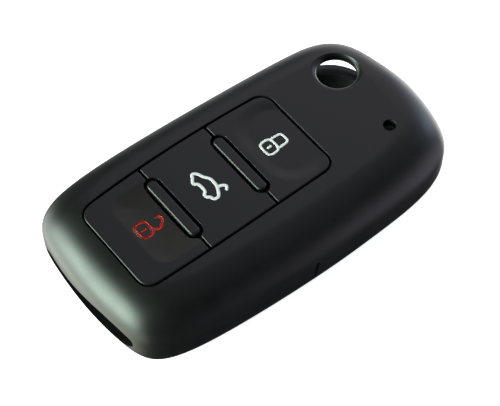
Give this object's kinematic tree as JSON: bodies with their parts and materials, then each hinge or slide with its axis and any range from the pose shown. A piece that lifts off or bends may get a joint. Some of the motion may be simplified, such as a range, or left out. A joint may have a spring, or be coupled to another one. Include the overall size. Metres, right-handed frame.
{
  "type": "key fob cover",
  "caption": "Soft moulded cover for a folding car key, with pressable button pads, a round release window, a lamp window, a long side slot and an end mouth.",
  "frame": {"origin": "centre of the flat back, on the surface that the cover rests on", "axes": "+Z out of the front face with the buttons, +Y towards the head end with the release window, +X towards the plain long side; the blade slot is on the -X side"},
  "size_m": [0.0436, 0.0799, 0.0187],
  "materials": {
    "jacket": "satin black silicone",
    "rib": "satin black silicone",
    "pad": "satin black silicone, a little smoother than the jacket",
    "web": "matte black silicone",
    "white_inlay": "matte white silicone ink",
    "red_inlay": "matte red-orange silicone ink"
  },
  "bodies": {
    "jacket": {"front_shell": "jacket", "rear_shell": "jacket", "head_rib": "rib", "tail_rib": "rib", "lock_web": "web", "boot_web": "web", "unlock_web": "web"},
    "lock_button": {"lock_pad": "pad", "lock_pip": "web", "lock_icon": "white_inlay", "lock_keyhole": "white_inlay"},
    "boot_button": {"boot_pad": "pad", "boot_pip": "web", "boot_icon": "white_inlay"},
    "unlock_button": {"unlock_pad": "pad", "unlock_pip": "web", "unlock_icon": "red_inlay", "unlock_keyhole": "red_inlay"}
  },
  "joints": [
    {"name": "lock_press", "type": "slide", "parent": "jacket", "child": "lock_button", "axis": [0, 0, -1], "range_m": [0, 0.0005], "stiffness_N_per_m": 3000, "deforming": ["lock_web"]},
    {"name": "boot_press", "type": "slide", "parent": "jacket", "child": "boot_button", "axis": [0, 0, -1], "range_m": [0, 0.0005], "stiffness_N_per_m": 3000, "deforming": ["boot_web"]},
    {"name": "unlock_press", "type": "slide", "parent": "jacket", "child": "unlock_button", "axis": [0, 0, -1], "range_m": [0, 0.0005], "stiffness_N_per_m": 3000, "deforming": ["unlock_web"]}
  ]
}
